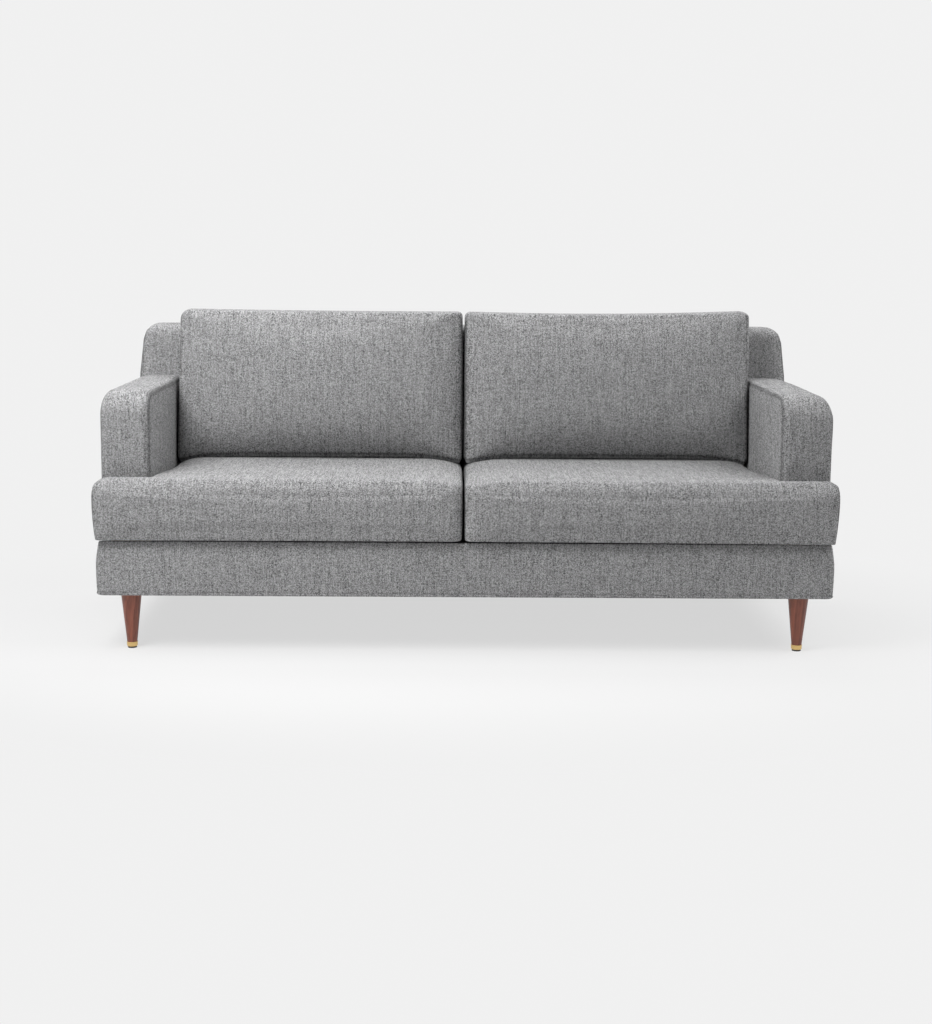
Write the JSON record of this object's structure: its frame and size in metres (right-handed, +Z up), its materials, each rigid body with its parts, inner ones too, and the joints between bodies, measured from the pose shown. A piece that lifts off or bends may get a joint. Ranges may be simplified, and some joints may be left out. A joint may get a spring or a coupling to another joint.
{
  "type": "two-seater sofa",
  "caption": "Two-seater sofa with recessed arms, T-shaped seat cushions, loose back cushions, a padded base and tapered wood legs with brass ferrules.",
  "frame": {"origin": "on the floor, at the middle of the sofa's width and depth", "axes": "+Z up; +X to the right as seen from the front; +Y towards the back, so the seat faces -Y"},
  "size_m": [1.9, 0.83, 0.8498],
  "materials": {
    "upholstery": "matte",
    "foam": "matte",
    "frame_wood": "matte",
    "hardboard": "matte",
    "leg_wood": "satin",
    "ferrule_brass": "satin",
    "glide": "matte",
    "fastener_steel": "satin",
    "spring_steel": "satin",
    "zip_metal": "satin",
    "zip_tape": "matte",
    "dust_cloth": "matte",
    "webbing": "matte",
    "deck_cloth": "matte"
  },
  "bodies": {
    "root": {"front_rail": "frame_wood", "back_rail": "frame_wood", "side_rail_left": "frame_wood", "side_rail_right": "frame_wood", "centre_rail": "frame_wood", "corner_blocks": "frame_wood", "arm_post_left": "frame_wood", "arm_post_right": "frame_wood", "arm_top_rail_left": "frame_wood", "arm_top_rail_right": "frame_wood", "arm_panels_left": "hardboard", "arm_panels_right": "hardboard", "back_stile_left": "frame_wood", "back_stile_right": "frame_wood", "back_stile_centre": "frame_wood", "back_top_rail": "frame_wood", "back_tack_rail": "frame_wood", "seat_springs_left": "spring_steel", "seat_springs_right": "spring_steel", "spring_clips": "spring_steel", "seat_deck": "deck_cloth", "back_webbing": "webbing", "base_border": "upholstery", "arm_cover_left": "upholstery", "arm_cover_right": "upholstery", "back_cover": "upholstery", "dust_cover": "dust_cloth", "leg_front_left": "leg_wood", "leg_front_right": "leg_wood", "leg_back_left": "leg_wood", "leg_back_right": "leg_wood", "ferrule_front_left": "ferrule_brass", "ferrule_front_right": "ferrule_brass", "ferrule_back_left": "ferrule_brass", "ferrule_back_right": "ferrule_brass", "glide_front_left": "glide", "glide_front_right": "glide", "glide_back_left": "glide", "glide_back_right": "glide", "leg_plates": "fastener_steel", "leg_plate_screws": "fastener_steel", "leg_bolts": "fastener_steel", "frame_screws": "fastener_steel"},
    "seat_left": {"seat_cover_left": "upholstery", "seat_core_left": "foam", "seat_zip_left": "zip_tape"},
    "back_left": {"back_cushion_left": "upholstery", "back_core_left": "foam", "back_zip_left": "zip_tape"},
    "seat_left_zip": {"seat_zip_pull_left": "zip_metal"},
    "back_left_zip": {"back_zip_pull_left": "zip_metal"},
    "seat_right": {"seat_cover_right": "upholstery", "seat_core_right": "foam", "seat_zip_right": "zip_tape"},
    "back_right": {"back_cushion_right": "upholstery", "back_core_right": "foam", "back_zip_right": "zip_tape"},
    "seat_right_zip": {"seat_zip_pull_right": "zip_metal"},
    "back_right_zip": {"back_zip_pull_right": "zip_metal"}
  },
  "joints": [
    {"name": "seat_left_slide", "type": "slide", "parent": "root", "child": "seat_left", "axis": [0, -1, 0], "range_m": [0, 0.65]},
    {"name": "back_left_lift", "type": "slide", "parent": "root", "child": "back_left", "axis": [0, 0, 1], "range_m": [0, 0.42]},
    {"name": "seat_left_zip_slide", "type": "slide", "parent": "seat_left", "child": "seat_left_zip", "axis": [-1, 0, 0], "range_m": [0, 0.515]},
    {"name": "back_left_zip_slide", "type": "slide", "parent": "back_left", "child": "back_left_zip", "axis": [-1, 0, 0], "range_m": [0, 0.515]},
    {"name": "seat_right_slide", "type": "slide", "parent": "root", "child": "seat_right", "axis": [0, -1, 0], "range_m": [0, 0.65]},
    {"name": "back_right_lift", "type": "slide", "parent": "root", "child": "back_right", "axis": [0, 0, 1], "range_m": [0, 0.42]},
    {"name": "seat_right_zip_slide", "type": "slide", "parent": "seat_right", "child": "seat_right_zip", "axis": [1, 0, 0], "range_m": [0, 0.515]},
    {"name": "back_right_zip_slide", "type": "slide", "parent": "back_right", "child": "back_right_zip", "axis": [1, 0, 0], "range_m": [0, 0.515]}
  ]
}
